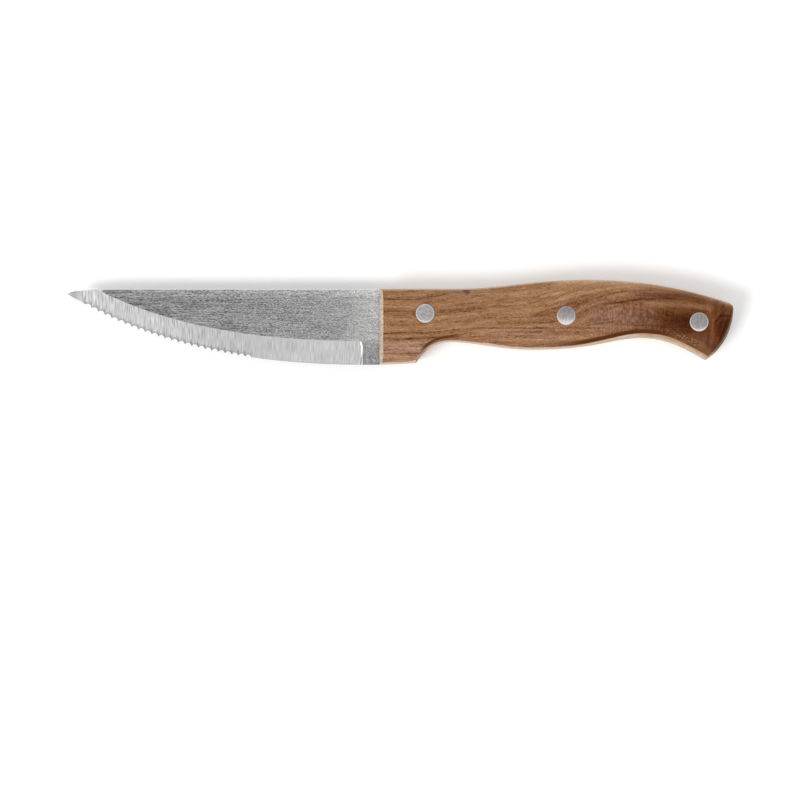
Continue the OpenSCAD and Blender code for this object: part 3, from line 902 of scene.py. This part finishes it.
def soft_group(name, angle, level_angle):
    """Shades faces smooth where they meet at less than the angle, in degrees. The second angle
    is for faces that lie nearly level."""
    tree = bpy.data.node_groups.new(name, "GeometryNodeTree")
    tree.interface.new_socket("Geometry", in_out="INPUT", socket_type="NodeSocketGeometry")
    tree.interface.new_socket("Geometry", in_out="OUTPUT", socket_type="NodeSocketGeometry")
    net = Net(tree)
    given = net.node("NodeGroupInput").outputs["Geometry"]
    bare = net.node("GeometryNodeRemoveAttribute", {"Geometry": given, "Name": "custom_normal"})
    joined = net.node(
        "GeometryNodeMergeByDistance",
        {"Geometry": bare.outputs["Geometry"], "Distance": SAME_PLACE},
    )
    smooth = net.node(
        "GeometryNodeSetShadeSmooth",
        {"Geometry": joined.outputs["Geometry"], "Shade Smooth": True},
        domain="FACE",
    )
    turn = net.node("GeometryNodeInputMeshEdgeAngle").outputs["Unsigned Angle"]
    normal = net.node("GeometryNodeInputNormal").outputs["Normal"]
    upward = net.node("ShaderNodeSeparateXYZ", {"Vector": normal}).outputs["Z"]
    level = net.node("GeometryNodeFieldOnDomain", data_type="FLOAT", domain="FACE")
    net.put(level.inputs[0], net.size(upward))
    across = net.node("GeometryNodeFieldOnDomain", data_type="FLOAT", domain="EDGE")
    net.put(across.inputs[0], level.outputs[0])
    is_level = net.math("GREATER_THAN", across.outputs[0], NEARLY_LEVEL)
    least = net.mix_number(is_level, math.radians(angle), math.radians(level_angle))
    corner = net.math("GREATER_THAN", turn, least)
    sharp = net.node(
        "GeometryNodeSetShadeSmooth",
        {"Geometry": smooth.outputs["Geometry"], "Selection": corner, "Shade Smooth": False},
        domain="EDGE",
    )
    net.node("NodeGroupOutput", {"Geometry": sharp.outputs["Geometry"]})
    return tree


# Each finish goes to the nodes whose names have its key in them.
FINISHES = {"blade": blade_steel(), "scale": walnut()}
FINISHES.update({which: rivet_steel(which) for which in RIVETS})
SOFT_ANGLE = 24
SOFT_STEEL = soft_group("soft_steel", SOFT_ANGLE, level_angle=2.5)
SOFT = soft_group("soft", SOFT_ANGLE, level_angle=SOFT_ANGLE)
for name, piece in NODES.items():
    piece.data.materials.clear()
    piece.data.materials.append(next(finish for key, finish in FINISHES.items() if key in name))
    modifier = piece.modifiers.new("soft", "NODES")
    modifier.node_group = SOFT_STEEL if name == "blade" else SOFT
    even = piece.modifiers.new("even", "WEIGHTED_NORMAL")
    even.keep_sharp = True


def background_seen(net):
    """1 for rays that show the background: the camera's, and those by way of metal or glass."""
    path = net.node("ShaderNodeLightPath").outputs
    seen = net.add(path["Is Camera Ray"], path["Is Glossy Ray"], path["Is Transmission Ray"])
    return net.math("MINIMUM", seen, 1.0)


# The photographed sheet is brighter than white, so its shadows are pale and it has no dark rim.
PAPER_GLOW = 0.23
PAPER_COLOUR = (0.9, 0.9, 0.9, 1)
WHITE = (1, 1, 1, 1)


def paper_sheet():
    paper = bpy.data.materials.new("paper")
    paper.use_nodes = True
    paper.node_tree.nodes.clear()
    net = Net(paper.node_tree)
    sheet = net.node("ShaderNodeBsdfDiffuse", {"Color": PAPER_COLOUR})
    strength = net.times(background_seen(net), PAPER_GLOW)
    glow = net.node("ShaderNodeEmission", {"Color": WHITE, "Strength": strength})
    both = net.node("ShaderNodeAddShader")
    net.put(both.inputs[0], sheet.outputs["BSDF"])
    net.put(both.inputs[1], glow.outputs["Emission"])
    net.node("ShaderNodeOutputMaterial", {"Surface": both.outputs["Shader"]})
    return paper


# The floor lies a hair below the knife, so that no two surfaces lie in one plane.
FLOOR_LEVEL = -0.02*MM
FLOOR_REACH = 3.0
corners = [
    (-FLOOR_REACH, -FLOOR_REACH, FLOOR_LEVEL),
    (FLOOR_REACH, -FLOOR_REACH, FLOOR_LEVEL),
    (FLOOR_REACH, FLOOR_REACH, FLOOR_LEVEL),
    (-FLOOR_REACH, FLOOR_REACH, FLOOR_LEVEL),
]
mesh = bpy.data.meshes.new("floor")
mesh.from_pydata(corners, [], [(0, 1, 2, 3)])
mesh.materials.append(paper_sheet())
floor = bpy.data.objects.new("floor", mesh)
bpy.context.scene.collection.objects.link(floor)

# Light: an even white room and one soft lamp, low on the left. The lamp gives the floor its
# share of full white, and it is as wide in the sky as that many degrees.
AMBIENT = 0.64
KEY_SHARE = 0.38
KEY_TOWARDS = (-0.66, -0.44, 1.0)
KEY_WIDTH = 20


def white_room():
    """A world that lights the object at its ambient strength and shows as white."""
    world = bpy.data.worlds.new("room")
    world.use_nodes = True
    world.node_tree.nodes.clear()
    net = Net(world.node_tree)
    room = net.node("ShaderNodeBackground", {"Color": WHITE, "Strength": AMBIENT})
    white = net.node("ShaderNodeBackground", {"Color": WHITE, "Strength": 1.0})
    both = net.node("ShaderNodeMixShader")
    for k, value in enumerate((background_seen(net), room.outputs[0], white.outputs[0])):
        net.put(both.inputs[k], value)
    net.node("ShaderNodeOutputWorld", {"Surface": both.outputs[0]})
    return world


bpy.context.scene.world = white_room()
lamp = bpy.data.lights.new("key", "SUN")
towards = Vector(KEY_TOWARDS).normalized()
lamp.energy = KEY_SHARE*math.pi/towards.z
lamp.angle = math.radians(KEY_WIDTH)
key = bpy.data.objects.new("key", lamp)
key.rotation_euler = towards.to_track_quat("Z", "Y").to_euler()
bpy.context.scene.collection.objects.link(key)

# Camera: straight above a place in front of the cutting edge, so that the knife lies in the
# upper half of the picture. The place is in millimetres, and so are the sensor and the lens.
CAMERA_PLACE = (-0.158, -28.17, 770.4)
SENSOR_WIDTH = 36
LENS = 94.5
camera_data = bpy.data.cameras.new("camera")
camera_data.sensor_width = SENSOR_WIDTH
camera_data.lens = LENS
camera = bpy.data.objects.new("camera", camera_data)
camera.location = [c*MM for c in CAMERA_PLACE]
bpy.context.scene.collection.objects.link(camera)
bpy.context.scene.camera = camera

bpy.context.scene.view_settings.view_transform = "Standard"
